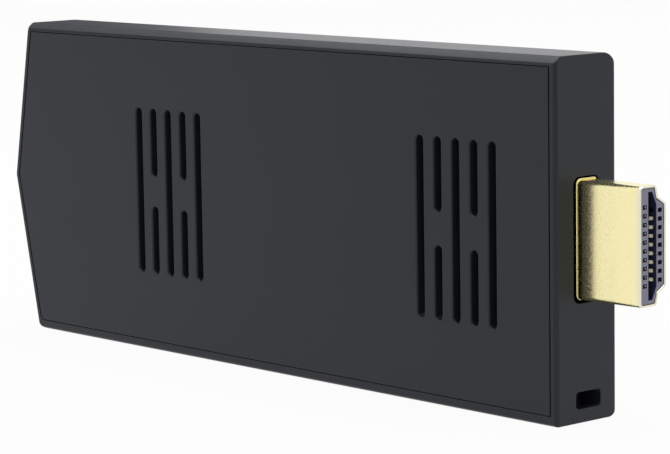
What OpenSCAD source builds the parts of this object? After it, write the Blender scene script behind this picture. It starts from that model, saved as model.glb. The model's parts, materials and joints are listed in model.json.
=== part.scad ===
// Stick computer: a flat moulded case with a video plug on its end.
// It stands on its long edge. +X runs along the case towards the plug, -Y faces out of
// the vented cover and +Z goes up across the width. The origin is on the standing
// surface, under the middle of the outline.
// Modules work from the plug end: X = 0 is the end wall, Y = 0 the cover's outer face
// and Z = 0 the standing edge. placed() moves them into the frame above.

/* [Case] */
// Length from the end wall to the point of the far end
body_l = 105.2; // [98:0.2:116]
// Width of the case, which is its height as it stands
body_w = 42.8; // [40:0.2:48]
// How far the point of the far end stands beyond its upper corner
point_d = 3.9; // [2:0.1:6]
// How far it stands beyond its lower corner
low_point_d = 4.5; // [2:0.1:6]
// Thickness of the side walls below the cover
wall_t = 1.9; // [1.7:0.1:2.3]
// Thickness of the back wall
back_wall = 1.95; // [1.2:0.05:2.4]
// Radius of the lower far corner
low_corner_r = 2; // [0.5:0.1:3]
// Radius of the upper far corner
high_corner_r = 0.3; // [0.2:0.1:3]
// Radius along the back's lower and far edges
back_edge_r = 1.3; // [0.6:0.1:2]
// Radius along the back's upper edge
top_edge_r = 2.1; // [0.6:0.1:2.4]
// Radius along the back's edge at the end wall
end_edge_r = 0.5; // [0.2:0.1:1]
// Bevel of the upper front edge, across the width
bevel_w = 0.85; // [0.4:0.05:0.9]
// Bevel of the upper front edge, across the thickness
bevel_t = 0.9; // [0.4:0.05:1.2]
// Bevel of the lower front edge
low_bevel = 0.25; // [0.1:0.05:0.8]
// Bevel of the front edges at the two ends
end_bevel = 0.38; // [0.1:0.02:0.6]

/* [Cover] */
// Thickness of the cover plate
cover_t = 1.4; // [1:0.1:2]
// Rim of the case beside the cover's long edges
rim_long = 1.15; // [1:0.05:1.3]
// Rim of the case at the cover's two ends
rim_end = 0.95; // [0.8:0.05:1.2]
// Seam between the cover and the rim at the two ends
seam = 0.18; // [0.1:0.02:0.3]
// Seam along the cover's long edges
long_seam = 0.08; // [0.06:0.02:0.3]
// Slots in a group
slot_count = 5; // [3:2:9]
// Pitch of the slots
slot_pitch = 3.05; // [2.5:0.05:4]
// Width of a slot
slot_w = 1.2; // [0.8:0.1:1.8]
// Length of a slot
slot_l = 22; // [14:0.5:28]
// Bridge in the middle of every second slot
slot_bridge = 4.13; // [2:0.1:8]
// Distance from the end wall to the middle of the near group
near_group_x = 16.4; // [14:0.2:24]
// Distance from the end wall to the middle of the far group
far_group_x = 70.55; // [60:0.5:76]
// Distance from the end wall to the nearest snap hooks
end_hook_x = 12; // [10:0.5:13]
// Width of a snap hook
hook_w = 4; // [2:0.5:6]
// Thickness of a snap hook
hook_t = 0.9; // [0.6:0.1:1.2]
// Reach of a snap hook below the cover
hook_l = 2.2; // [1.8:0.1:2.6]
// Height of the nose that catches in the wall
hook_nose = 0.4; // [0.2:0.05:0.6]
// Room round a hook's nose in its pocket
hook_room = 0.15; // [0.1:0.05:0.3]

/* [Strap slot] */
// Length of the strap slot, across the thickness
strap_l = 4.1; // [2.5:0.1:4.5]
// Width of the strap slot
strap_w = 2; // [1.5:0.1:2.5]
// Thickness of the corner post that the strap goes round
strap_post = 1.65; // [1.2:0.05:2.2]
// Wall between the strap slot and the inside
strap_wall = 1; // [0.8:0.1:1.5]
// Distance from the cover's face to the middle of the slot
strap_y = 5.35; // [5:0.05:6]
// Corner radius of the slot
strap_r = 0.45; // [0.2:0.05:0.8]

/* [Video plug] */
// Length of the plug outside the case
plug_len = 9.3; // [8:0.1:12]
// Length of the plug inside the case
plug_in = 5.2; // [4:0.1:7]
// Width of the plug's wide side
plug_w = 13.9; // [13.5:0.1:14.5]
// Width of the plug's narrow side
plug_narrow = 9.55; // [9.2:0.05:10.6]
// Width between the shoulders where the sides start to slope
plug_neck = 11.2; // [10.8:0.1:12.8]
// Thickness of the plug
plug_h = 4.45; // [4.3:0.05:4.8]
// Distance from the plug's wide face to the shoulder
plug_step = 2.78; // [2.6:0.02:3]
// Rise of the shoulder
plug_shoulder = 0.32; // [0.1:0.02:0.5]
// Sheet thickness of the plug shell
plug_sheet = 0.3; // [0.2:0.02:0.35]
// Corner radius of the plug shell's wide and narrow sides
plug_r = 0.55; // [0.4:0.05:0.8]
// Corner radius of the plug shell's shoulders
plug_shoulder_r = 0.33; // [0.2:0.01:0.4]
// Reach of the flange beyond the plug's outline
flange_out = 0.32; // [0.2:0.02:0.4]
// Thickness of the flange
flange_t = 0.4; // [0.25:0.05:0.6]
// Depth of the flange below the end wall's face
flange_sink = 0.1; // [0:0.05:0.4]
// Gap round the flange in the end wall
flange_gap = 0.1; // [0.06:0.02:0.3]
// How much further the opening reaches towards the cover
opening_near = 0.6; // [0:0.05:1]
// Depth of the moulded block below the plug's mouth
block_sink = 0.15; // [0.1:0.05:0.6]
// Depth of the cavity in the plug
cavity_d = 5.6; // [4:0.1:6]
// Height of the cavity
cavity_h = 1.4; // [1.2:0.05:1.5]
// Wall of the block at the cavity's two ends
cavity_wall = 0.45; // [0.3:0.05:0.8]
// Length of the slants at the ends of the cavity's narrow side
cavity_cut = 1.5; // [0.5:0.1:1.8]
// Pitch of the contacts
contact_pitch = 1; // [0.9:0.02:1.1]
// Distance from the plug's middle to each row of windows
row_off = 1.27; // [1.2:0.01:1.32]
// Width of the window in front of a contact, along the row
window_w = 0.5; // [0.46:0.02:0.6]
// Height of the window in front of a contact, across the row
window_h = 0.67; // [0.5:0.01:0.7]
// Distance from the plug's middle to each row of contacts
contact_off = 1.07; // [1.06:0.01:1.27]
// Width of a contact
contact_w = 0.4; // [0.3:0.02:0.44]
// Sheet thickness of a contact
contact_t = 0.18; // [0.12:0.02:0.22]
// Front wall that each window goes through
window_wall = 0.56; // [0.52:0.02:0.7]
// Depth of a wide-row contact's tip behind the block's face
wide_sink = 0.12; // [0.1:0.02:0.4]
// Depth of a narrow-row contact's tip behind the block's face
narrow_sink = 0.5; // [0.1:0.02:0.5]
// Height of a contact's spring bow into the cavity
bow = 0.2; // [0.05:0.01:0.3]
// Distance from the block's face to the top of the bow
bow_start = 1.2; // [1:0.05:1.5]
// Length of the top of the bow
bow_l = 0.9; // [0.5:0.1:1.5]
// Length of the slope behind the bow
bow_slope = 1.4; // [1:0.1:2]
// Length of a contact's foot on the board
foot_l = 1.6; // [1:0.1:2.4]
// How far the first narrow-row contact is set back, to mate last
late_contact = 1.4; // [0:0.1:2]

/* [Board] */
// Thickness of the board
board_t = 1; // [0.8:0.1:1.2]
// Gap between the board and the side walls
board_gap = 0.4; // [0.2:0.05:0.8]
// Gap between the plug's inner end and the board
plug_gap = 0.4; // [0.2:0.05:0.8]
// Distance from the board's edges to the screws
screw_in = 3.5; // [3:0.1:4.5]
// Shank radius of a screw
screw_r = 1; // [0.7:0.05:1.2]
// Head radius of a screw
screw_head_r = 1.8; // [1.5:0.1:2.2]
// Head height of a screw
screw_head_h = 0.9; // [0.6:0.1:1.2]
// Depth of a screw in the back wall
screw_deep = 0.6; // [0.3:0.1:0.9]
// Length of the cross in a screw's head
drive_l = 2.2; // [1.6:0.1:2.4]
// Width of the cross in a screw's head
drive_w = 0.45; // [0.3:0.05:0.6]
// Depth of the cross in a screw's head
drive_d = 0.4; // [0.2:0.05:0.5]
// Radius of the bosses
boss_r = 2.2; // [1.8:0.1:2.6]
// Clearance round a screw's shank in its boss
screw_fit = 0.04; // [0.02:0.02:0.1]
// Clearance round a screw's shank in the board
board_fit = 0.15; // [0.1:0.05:0.3]

/* [Chips] */
// Side of the processor
cpu_side = 17; // [14:0.5:20]
// Height of the processor
cpu_h = 1.2; // [0.8:0.1:1.4]
// Distance from the end wall to the processor's middle
cpu_x = 48; // [46:0.5:50]
// Height of the processor's middle above the case's middle
cpu_up = 2.6; // [1:0.2:4]
// Thickness of the heat spreader
spreader_t = 1.2; // [0.8:0.1:1.5]
// Thickness of the pad on the processor
pad_t = 0.8; // [0.5:0.1:0.9]
// Margin of the spreader beyond the chips below it
spreader_over = 0.5; // [0:0.1:1.5]
// Width of a memory chip
mem_w = 8; // [7:0.5:9]
// Length of a memory chip
mem_l = 11; // [9:0.5:12]
// Height of a memory chip
mem_h = 1; // [0.8:0.1:1.1]
// Gap between the processor and a memory chip
mem_gap = 2; // [1.5:0.1:3]
// Width of the storage chip
store_w = 11.5; // [10:0.5:13]
// Length of the storage chip
store_l = 13; // [11:0.5:14]
// Height of the storage chip
store_h = 1; // [0.8:0.1:1.4]
// Distance from the end wall to the storage chip's middle
store_x = 18; // [17:0.5:20]
// Distance from the board's top edge to the storage chip
store_down = 4; // [3.5:0.5:6]
// Side of the power chip
pmic_side = 6; // [4:0.5:7]
// Height of the power chip
pmic_h = 0.9; // [0.6:0.1:1.2]
// Height of the power chip's middle above the case's middle
pmic_up = -1; // [-2:0.5:1]
// Side of an inductor
coil_side = 4; // [3:0.5:4.5]
// Height of an inductor
coil_h = 2.2; // [1.2:0.2:3]
// Height of the first inductor above the board's lower edge
coil_z = 5.7; // [5:0.2:7]
// Pitch of the inductors
coil_pitch = 5; // [4.8:0.1:6]
// Length of a capacitor
cap_l = 1.6; // [1:0.2:2]
// Width of a capacitor
cap_w = 0.8; // [0.5:0.1:1.2]
// Pitch of the capacitors
cap_pitch = 3; // [2.5:0.1:4]
// Capacitors in the row
cap_count = 6; // [2:1:8]
// Distance from the board's top edge to the capacitors
cap_down = 2.2; // [1.5:0.1:2.6]
// Length of a crystal
crystal_l = 3.2; // [2:0.2:3.6]
// Width of a crystal
crystal_w = 2.5; // [1.6:0.1:2.8]
// Height of a crystal
crystal_h = 0.8; // [0.5:0.1:1]
// Distance from the end wall to the crystal
crystal_x = 13; // [12:0.5:15]
// Height of the crystal above the case's middle
crystal_up = -4; // [-5:0.5:-3]

/* [Wireless] */
// Side of the wireless module
radio_side = 12; // [10:0.5:13]
// Thickness of the module's own board
radio_board_t = 0.6; // [0.4:0.1:0.8]
// Height of the shield can
radio_can_h = 1.2; // [0.8:0.1:1.6]
// Sheet thickness of the shield can
can_sheet = 0.2; // [0.1:0.05:0.3]
// Margin of the module's board round the can
can_in = 0.4; // [0.2:0.1:0.8]
// Distance from the board's far edge to the module's middle
radio_x = 13.5; // [12.5:0.5:15]
// Distance from the board's top edge to the module
radio_down = 1.5; // [1:0.1:2.5]
// Length of the antenna block
antenna_l = 8; // [6:0.5:10]
// Width of the antenna block
antenna_w = 2; // [1.5:0.1:2.4]
// Height of the antenna block
antenna_h = 1.2; // [0.8:0.1:1.6]
// Distance from the board's far edge to the antenna
antenna_in = 0.4; // [0.2:0.1:1]

/* [Ports] */
// Depth of the port mouths below the standing edge
mouth_sink = 0.25; // [0.1:0.05:0.5]
// Gap round a port in the wall
port_gap = 0.2; // [0.1:0.02:0.3]
// Distance from the end wall to the host port
host_x = 25; // [23:0.5:27]
// Width of the host port
host_w = 13.1; // [12.8:0.1:13.6]
// Height of the host port
host_h = 5.7; // [5.5:0.1:6]
// Length of the host port
host_l = 13.5; // [12:0.5:14]
// Room above and below the host port, inside the case
host_clear = 0.55; // [0.4:0.05:0.8]
// Sheet thickness of the host port
host_sheet = 0.3; // [0.2:0.05:0.4]
// Width of the host port's tongue
host_tongue_w = 11.1; // [10.6:0.1:11.5]
// Thickness of the host port's tongue
host_tongue_t = 1.84; // [1.5:0.02:2]
// Gap behind the host port's tongue
host_tongue_gap = 0.42; // [0.3:0.02:0.6]
// Depth of the tongue's tip below the host port's mouth
host_tongue_sink = 1; // [0.5:0.1:2]
// Length of the block at the root of the host port's tongue
host_root = 4; // [3:0.2:5]
// Width of a host port contact
host_contact_w = 1; // [0.8:0.1:1.1]
// Sheet thickness of a host port contact
host_contact_t = 0.2; // [0.15:0.05:0.3]
// Distance of the inner contacts from the host port's middle
host_inner = 1; // [0.9:0.05:1.2]
// Distance of the outer contacts from the host port's middle
host_outer = 3.5; // [3.2:0.1:4]
// Reach of the host port's ears onto the board
ear_out = 1.4; // [1:0.1:1.8]
// Width of the host port's ears
ear_w = 2.4; // [1.5:0.1:3]
// Distance from the host port's mouth to its ears
ear_z = 6; // [5:0.5:8]
// Distance from the end wall to the data port
data_x = 50; // [47:0.5:51]
// Distance from the end wall to the power port
power_x = 62; // [60:0.5:63]
// Width of a small port
small_w = 7.5; // [7:0.1:8]
// Height of a small port
small_h = 2.5; // [2.2:0.1:3]
// Length of a small port
small_l = 5; // [4.5:0.1:6]
// Sheet thickness of a small port
small_sheet = 0.25; // [0.15:0.05:0.3]
// Bevel of a small port's two keyed corners
small_key = 1; // [0.6:0.1:1.2]
// Width of a small port's tongue
small_tongue_w = 3.9; // [3.6:0.1:4.4]
// Thickness of a small port's tongue
small_tongue_t = 0.6; // [0.5:0.05:0.8]
// Depth of the tongue's tip below a small port's mouth
small_tongue_sink = 0.8; // [0.5:0.1:1.2]
// Length of the block at the root of a small port's tongue
small_root = 1.4; // [1:0.1:2]
// Contacts in a small port
small_contacts = 5; // [3:1:5]
// Pitch of a small port's contacts
small_pitch = 0.65; // [0.6:0.01:0.75]
// Width of a small port's contact
small_contact_w = 0.3; // [0.2:0.02:0.4]
// Sheet thickness of a small port's contact
small_contact_t = 0.12; // [0.1:0.02:0.16]
// Distance from a tongue's tip to its contacts' tips
contact_in = 0.5; // [0.3:0.05:1]
// Length of a port contact's foot on the board
port_foot = 0.9; // [0.6:0.1:1.2]

/* [Card socket] */
// Distance from the board's far edge to the card socket's middle
card_x = 14.3; // [13.5:0.5:16]
// Width of the card socket
card_w = 12.6; // [12:0.1:13.4]
// Length of the card socket
card_l = 11.4; // [10:0.2:13]
// Height of the card socket
card_h = 1.45; // [1.3:0.05:1.8]
// Sheet thickness of the card socket's cover
card_sheet = 0.2; // [0.15:0.05:0.25]
// Thickness of the card socket's base
card_base_t = 0.4; // [0.3:0.05:0.5]
// Length of the stop block at the card socket's inner end
card_stop = 1.2; // [0.8:0.1:1.6]
// Contacts in the card socket
card_contacts_n = 8; // [4:1:8]
// Pitch of the card contacts
card_pitch = 1.1; // [1:0.02:1.2]
// Width of a card contact
card_contact_w = 0.5; // [0.3:0.05:0.7]
// Sheet thickness of a card contact
card_contact_t = 0.12; // [0.1:0.02:0.15]
// Rise of a card contact's spring above the base
card_rise = 0.45; // [0.3:0.05:0.5]
// Distance from the card socket's mouth to its contacts
card_foot = 3; // [2:0.2:4]
// Length of a card contact's spring
card_spring = 5; // [4:0.2:5.4]
// Length of the card slot in the wall
card_slot_l = 11.4; // [11.2:0.1:11.8]
// Width of the card slot in the wall
card_slot_w = 1.2; // [1:0.05:1.3]

/* [Button and light] */
// Distance from the board's far edge to the button
button_x = 9.3; // [8.5:0.1:11]
// Length of the button, across the case
button_l = 9; // [6:0.5:11]
// Width of the button
button_w = 4; // [3:0.1:4.6]
// Gap round the button
button_gap = 0.2; // [0.15:0.01:0.3]
// Travel of the button
button_travel = 0.3; // [0.2:0.05:0.5]
// Lip that keeps the button in
button_lip = 0.6; // [0.4:0.05:0.9]
// Thickness of that lip
button_lip_t = 0.45; // [0.3:0.05:0.7]
// Play between the lip and the wall
button_play = 0.05; // [0.02:0.01:0.1]
// Depth of the hollow pressed into the button's face
button_dish = 0.25; // [0.1:0.05:0.4]
// Width of that hollow
dish_w = 2; // [1.5:0.1:2.5]
// Length of that hollow
dish_l = 5.4; // [4:0.1:5.5]
// Side of the switch
switch_side = 5.2; // [4:0.2:6]
// Height of the switch
switch_h = 0.6; // [0.55:0.05:1]
// Radius of the switch's plunger
plunger_r = 0.9; // [0.6:0.1:1.2]
// Gap round the plunger in the switch
plunger_gap = 0.15; // [0.1:0.01:0.2]
// Length of the plunger kept inside the switch
plunger_in = 0.1; // [0.05:0.01:0.1]
// Room left under the lip when the button is down
press_room = 0.1; // [0.05:0.01:0.2]
// Distance from the board's far edge to the light
light_x = 19.3; // [18:0.1:22]
// Radius of the light pipe
pipe_r = 1; // [0.7:0.05:1.5]
// Clearance round the light pipe in the wall
pipe_fit = 0.04; // [0.02:0.02:0.1]
// Width of the light pipe's shoulder
pipe_shoulder = 0.5; // [0.3:0.1:0.8]
// Thickness of the light pipe's shoulder
pipe_shoulder_t = 0.4; // [0.3:0.05:0.5]
// Side of the light
light_side = 1.6; // [1:0.1:2]
// Height of the light
light_h = 0.6; // [0.4:0.05:0.7]
// Gap between the light and its pipe
light_gap = 0.1; // [0.05:0.05:0.2]

/* [Hidden] */
$fn = 48;

// Overshoot of every cut past the face it opens
over = 1;
// Clearance between parts that are pushed together
push_fit = 0.05;
// Least radius of a rounded corner
least_r = 0.1;
// Points on a rounded corner
arc_steps = 6;
// Contacts in the plug's two rows
wide_count = 10;
narrow_count = 9;

// The thickness is a stack: cover, components, board, components, back wall
plunger_h = button_travel + press_room;
back_space = switch_h + plunger_h + button_lip_t + button_play;
inner_t = host_h + 2 * host_clear;
body_t = cover_t + inner_t + back_wall;
back_in = body_t - back_wall;
board_back = back_in - back_space;
board_front = board_back - board_t;
plug_y = (board_front + board_back) / 2;
plug_z = body_w / 2;
mid_z = body_w / 2;

half_w = body_w / 2;

// The board fills the inside up to its gap
board_z0 = wall_t + board_gap;
board_z1 = body_w - board_z0;
board_x1 = -plug_in - plug_gap;
board_x0 = far_x(board_z0, wall_t + board_gap);
card_cx = board_x0 + card_x;
strap_block = strap_post + strap_w + strap_wall;
block_front = plug_len - block_sink;
spreader_y1 = board_front - cpu_h - pad_t;
screw_spots = [for (x = [board_x0 + screw_in, board_x1 - screw_in])
    for (z = [board_z0 + screw_in, board_z1 - screw_in]) [x, z]];
// Half way between the power port and the card socket
coil_cx = (-power_x - small_w / 2 + card_cx + card_w / 2) / 2;
low_hooks = [-end_hook_x, -(host_x + data_x) / 2, coil_cx];
high_hooks = [-end_hook_x, -cpu_x, card_cx];
hook_y = cover_t + hook_l;

// The depth and the slant of the far end's face at height z
function far_depth(z) = z < half_w ? low_point_d : point_d;
function far_angle(z) = atan(far_depth(z) / half_w);

// Where that face lies at height z, moved in by inset
function far_x(z, inset) =
    -body_l + far_depth(z) * abs(z - half_w) / half_w + inset / cos(far_angle(z));

// The case's outline, moved in along its long edges and at its ends
function case_outline(long_in, end_in) = [
    [-end_in, long_in],
    [-end_in, body_w - long_in],
    [far_x(body_w - long_in, end_in), body_w - long_in],
    [far_x(half_w, end_in), half_w],
    [far_x(long_in, end_in), long_in]];

// Corner radii of that outline
function case_radii(inset) =
    [0, 0, max(high_corner_r - inset, 0), 0, max(low_corner_r - inset, 0)];

function unit(v) = v / norm(v);

// Points on the arc that rounds corner b between its neighbours a and c
function corner_arc(a, b, c, r) = r <= 0 ? [b] :
    let (u = unit(a - b))
    let (v = unit(c - b))
    let (half = acos(u * v) / 2)
    let (mid = b + unit(u + v) * r / sin(half))
    let (from = b + u * r / tan(half) - mid)
    let (to = b + v * r / tan(half) - mid)
    let (start = atan2(from[1], from[0]))
    let (sweep = atan2(to[1], to[0]) - start)
    let (turn = sweep > 180 ? sweep - 360 : sweep < -180 ? sweep + 360 : sweep)
    [for (i = [0 : arc_steps])
        let (angle = start + turn * i / arc_steps)
        mid + r * [cos(angle), sin(angle)]];

// An outline with each corner rounded by its own radius
function rounded(p, r) = let (n = len(p))
    [for (i = [0 : n - 1]) each corner_arc(p[(i + n - 1) % n], p[i], p[(i + 1) % n], r[i])];

// An outline moved in by d, its points running anticlockwise
function moved_in(p, d) = let (n = len(p))
    [for (i = [0 : n - 1])
        let (u = unit(p[i] - p[(i + n - 1) % n]))
        let (v = unit(p[(i + 1) % n] - p[i]))
        let (nu = [-u[1], u[0]])
        let (nv = [-v[1], v[0]])
        p[i] + (nu + nv) * d / (1 + nu * nv)];

// A rectangle round the origin
function box_outline(w, h) = [[-w, -h] / 2, [w, -h] / 2, [w, h] / 2, [-w, h] / 2];

// The plug's D-shaped outline in Y and Z, its wide side towards -Y
function plug_outline(inset) = let (step = plug_step - plug_h / 2)
    moved_in([
        [-plug_h / 2, -plug_w / 2],
        [step, -plug_w / 2],
        [step + plug_shoulder, -plug_neck / 2],
        [plug_h / 2, -plug_narrow / 2],
        [plug_h / 2, plug_narrow / 2],
        [step + plug_shoulder, plug_neck / 2],
        [step, plug_w / 2],
        [-plug_h / 2, plug_w / 2]], inset);

// Corner radii of that outline
function plug_radii(inset) = let (s = plug_shoulder_r)
    [for (r = [plug_r, s, s, plug_r, plug_r, s, s, plug_r]) max(r - inset, least_r)];

// The cavity's outline in Y and Z, slanted at the ends of its narrow side
function cavity_outline() =
    let (h = cavity_h / 2, e = plug_w / 2 - plug_sheet - cavity_wall, s = e - cavity_cut)
    [[-h, -e], [0, -e], [h, -s], [h, s], [0, e], [-h, e]];

// A strip of sheet that follows points, given along and across the run
function strip(p, t) = concat(
    [for (q = p) q - [0, t / 2]],
    [for (i = [len(p) - 1 : -1 : 0]) p[i] + [0, t / 2]]);

function swapped(p) = [for (q = p) [q[1], q[0]]];

// Height of contact i of n in a row along Z
function row_z(i, n) = plug_z + (i - (n - 1) / 2) * contact_pitch;

// From the working frame to the part's own frame
module placed() translate([(body_l - plug_len) / 2, -body_t / 2, 0]) children();

// A flat shape in X and Z, thick from y0 to y1
module slab(y0, y1) translate([0, y1, 0]) rotate([90, 0, 0]) linear_extrude(y1 - y0) children();

// A flat shape in Y and Z, long from x0 to x1
module along_x(x0, x1) translate([x0, 0, 0]) rotate([90, 0, 90]) linear_extrude(x1 - x0) children();

// A flat shape in X and Y, tall from z0 to z1
module along_z(z0, z1) translate([0, 0, z0]) linear_extrude(z1 - z0) children();

// A chip on the board's front or back, centred at x and z
module on_front(x, z, w, l, h) translate([x - w / 2, board_front - h, z - l / 2]) cube([w, h, l]);
module on_back(x, z, w, l, h) translate([x - w / 2, board_back, z - l / 2]) cube([w, h, l]);

// A shape of the lower half, turned over onto the upper half
module upper_half() translate([0, 0, body_w]) mirror([0, 0, 1]) children();

// A slot with round ends, long along Z
module pill(w, l) {
    square([w, l - w], center = true);
    for (s = [-1, 1]) translate([0, s * (l - w) / 2]) circle(d = w);
}

// What a bevel takes off the corner at the origin, a along the first axis and b along the second
module bevel_cut(a, b) polygon([[-over, -over], [a + over * a / b, -over], [-over, b + over * b / a]]);

// What a rounded edge takes off the corner at the origin
module round_cut(r) difference() {
    translate([-over, -over]) square(r + over);
    translate([r, r]) circle(r);
}

// What a long edge loses at the front and the back, drawn at the lower edge
module long_edge_cuts(across_t, across_w, back_r) along_x(-body_l - over, over) {
    bevel_cut(across_t, across_w);
    translate([body_t, 0]) mirror([1, 0]) round_cut(back_r);
}

// What the end wall's two edges lose
module end_edge_cuts() along_z(-over, body_w + over) {
    mirror([1, 0]) bevel_cut(end_bevel, end_bevel);
    translate([0, body_t]) rotate(180) round_cut(end_edge_r);
}

// What the edges of the lower slanted face lose
module far_edge_cuts(angle) translate([-body_l, 0, half_w]) rotate([0, -angle, 0])
    along_z(-half_w - point_d, point_d) {
        bevel_cut(end_bevel, end_bevel);
        translate([0, body_t]) mirror([0, 1]) round_cut(back_edge_r);
    }

module case_block() difference() {
    slab(0, body_t) polygon(rounded(case_outline(0, 0), case_radii(0)));
    long_edge_cuts(low_bevel, low_bevel, back_edge_r);
    upper_half() long_edge_cuts(bevel_t, bevel_w, top_edge_r);
    far_edge_cuts(far_angle(0));
    upper_half() far_edge_cuts(far_angle(body_w));
    end_edge_cuts();
}

// The room inside: the cover's seat and the deeper space below it
module case_room() {
    slab(-over, cover_t) polygon(rounded(case_outline(rim_long, rim_end), case_radii(rim_long)));
    slab(cover_t - push_fit, back_in) polygon(case_outline(wall_t, wall_t));
}

// The corner that the strap goes through, and the bosses under the board
module inside_features() {
    translate([-strap_block, cover_t, 0]) cube([strap_block, inner_t, strap_block]);
    for (p = screw_spots) translate([p[0], board_back, p[1]]) rotate([-90, 0, 0])
        cylinder(r = boss_r, h = back_space + push_fit);
}

// The strap's way in at the end wall and out at the standing edge
module strap_cut() {
    mid = strap_post + strap_w / 2;
    outline = rounded(box_outline(strap_l, strap_w), [for (i = [1 : 4]) strap_r]);
    translate([0, strap_y, mid]) along_x(-strap_post - strap_w, over) polygon(outline);
    translate([-mid, strap_y, 0]) along_z(-over, strap_post + strap_w) polygon(swapped(outline));
}

// The plug's way through the end wall, and its relief in the back wall
module plug_opening() translate([0, plug_y, plug_z]) {
    around = -flange_out - flange_gap;
    for (near = [0, opening_near]) translate([0, -near, 0])
        along_x(-wall_t - over, over) polygon(rounded(plug_outline(around), plug_radii(around)));
    along_x(-plug_in - plug_gap, -wall_t + push_fit)
        polygon(box_outline(plug_h + 2 * port_gap, plug_w + 2 * port_gap));
}

// A port's opening in the standing edge
module port_opening(x, y0, y1, w) translate([x - w / 2, y0, -over])
    cube([w, y1 - y0, wall_t + 2 * over]);

module edge_openings() {
    port_opening(-host_x, host_y - port_gap, host_y + host_h + port_gap, host_w + 2 * port_gap);
    for (x = [-data_x, -power_x])
        port_opening(x, board_front - small_h - port_gap, board_front + port_gap, small_w + 2 * port_gap);
    card_mid = board_front - card_base_t - (card_h - card_base_t - card_sheet) / 2;
    port_opening(card_cx, card_mid - card_slot_w / 2, card_mid + card_slot_w / 2, card_slot_l);
}

module back_openings() {
    translate([button_cx, 0, mid_z]) slab(back_in - over, body_t + over)
        pill(button_w + 2 * button_gap, button_l + 2 * button_gap);
    translate([board_x0 + light_x, back_in - over, mid_z]) rotate([-90, 0, 0])
        cylinder(r = pipe_r + pipe_fit, h = back_wall + 2 * over);
    for (p = screw_spots) translate([p[0], board_back - over, p[1]]) rotate([-90, 0, 0])
        cylinder(r = screw_r + screw_fit, h = over + back_space + screw_deep + push_fit);
}

// The pockets that the hooks' noses catch in
module hook_pocket(x) {
    y0 = hook_y - 2 * hook_nose - hook_room;
    translate([x - hook_w / 2 - hook_room, y0, wall_t - hook_nose - hook_room])
        cube([hook_w + 2 * hook_room, 2 * hook_nose + 2 * hook_room, hook_nose + hook_room + over]);
}

module hook_pockets() {
    for (x = low_hooks) hook_pocket(x);
    upper_half() for (x = high_hooks) hook_pocket(x);
}

module main_shell() color("#3b3c40") placed() difference() {
    union() {
        difference() {
            case_block();
            case_room();
        }
        intersection() {
            case_block();
            inside_features();
        }
    }
    strap_cut();
    plug_opening();
    edge_openings();
    back_openings();
    hook_pockets();
}

// One group of cooling slots, every second one bridged
module slot_group() {
    part_l = (slot_l - slot_bridge) / 2;
    for (i = [0 : slot_count - 1]) translate([(i - (slot_count - 1) / 2) * slot_pitch, 0])
        if (i % 2 == 0) pill(slot_w, slot_l);
        else for (s = [-1, 1]) translate([0, s * (slot_bridge + part_l) / 2]) pill(slot_w, part_l);
}

// A snap hook on the cover's lower edge, its nose in the wall
module hook(x) translate([x - hook_w / 2, 0, wall_t]) along_hook() polygon([
    [cover_t, push_fit], [cover_t, hook_t], [hook_y, hook_t], [hook_y, push_fit],
    [hook_y - hook_nose, -hook_nose], [hook_y - 2 * hook_nose, push_fit]]);

module along_hook() rotate([90, 0, 90]) linear_extrude(hook_w) children();

module vent_cover() color("#3d3f43") placed() {
    long_in = rim_long + long_seam;
    difference() {
        slab(0, cover_t) polygon(rounded(case_outline(long_in, rim_end + seam), case_radii(long_in)));
        for (x = [near_group_x, far_group_x]) translate([-x, 0, mid_z])
            slab(-over, cover_t + over) slot_group();
    }
    for (x = low_hooks) hook(x);
    upper_half() for (x = high_hooks) hook(x);
}

module plug_shell() color("#e6d9a4") placed() translate([0, plug_y, plug_z]) {
    along_x(-plug_in, plug_len) difference() {
        polygon(rounded(plug_outline(0), plug_radii(0)));
        polygon(rounded(plug_outline(plug_sheet), plug_radii(plug_sheet)));
    }
    along_x(-flange_sink - flange_t, -flange_sink) difference() {
        polygon(rounded(plug_outline(-flange_out), plug_radii(-flange_out)));
        polygon(rounded(plug_outline(plug_sheet / 2), plug_radii(plug_sheet / 2)));
    }
    // Legs that reach back onto the board
    leg_l = foot_l + plug_gap;
    for (s = [-1, 1])
        translate([-plug_in - leg_l, -board_t / 2 - plug_sheet, s * plug_w / 2 - plug_sheet])
            cube([leg_l + plug_sheet, plug_sheet, 2 * plug_sheet]);
}

// The channel of one contact, open to the cavity behind its window
module contact_channel(side, z) translate([0, 0, z]) {
    translate([-plug_in - over, side * row_off - window_h / 2, -window_w / 2])
        cube([plug_in + plug_len + 2 * over, window_h, window_w]);
    inner = cavity_h / 2 - push_fit;
    translate([block_front - cavity_d, side > 0 ? inner : -row_off, -window_w / 2])
        cube([cavity_d - window_wall, row_off - inner, window_w]);
}

module plug_insulator() color("#84848f") placed() translate([0, plug_y, plug_z]) difference() {
    fit = plug_sheet + push_fit;
    along_x(-plug_in, block_front) polygon(rounded(plug_outline(fit), plug_radii(fit)));
    along_x(block_front - cavity_d, block_front + over) polygon(cavity_outline());
    for (i = [0 : wide_count - 1]) contact_channel(-1, row_z(i, wide_count) - plug_z);
    for (i = [0 : narrow_count - 1]) contact_channel(1, row_z(i, narrow_count) - plug_z);
}

// One plug contact: a tip behind the window, a spring bow in the cavity and a foot on the board
module plug_contact(side, z, sink, set_back) {
    tip = block_front - set_back;
    crest = contact_off - cavity_h / 2 + bow - contact_t / 2;
    foot = contact_off - board_t / 2 - contact_t / 2;
    bow_end = tip - bow_start - bow_l;
    run = [
        [tip - sink, 0], [tip - window_wall, 0], [tip - bow_start, crest], [bow_end, crest],
        [bow_end - bow_slope, 0], [-plug_in, 0], [board_x1, foot], [board_x1 - foot_l, foot]];
    path = [for (p = run) [p[0], side * (contact_off - p[1])]];
    translate([0, plug_y, z - contact_w / 2]) along_z(0, contact_w) polygon(strip(path, contact_t));
}

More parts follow.
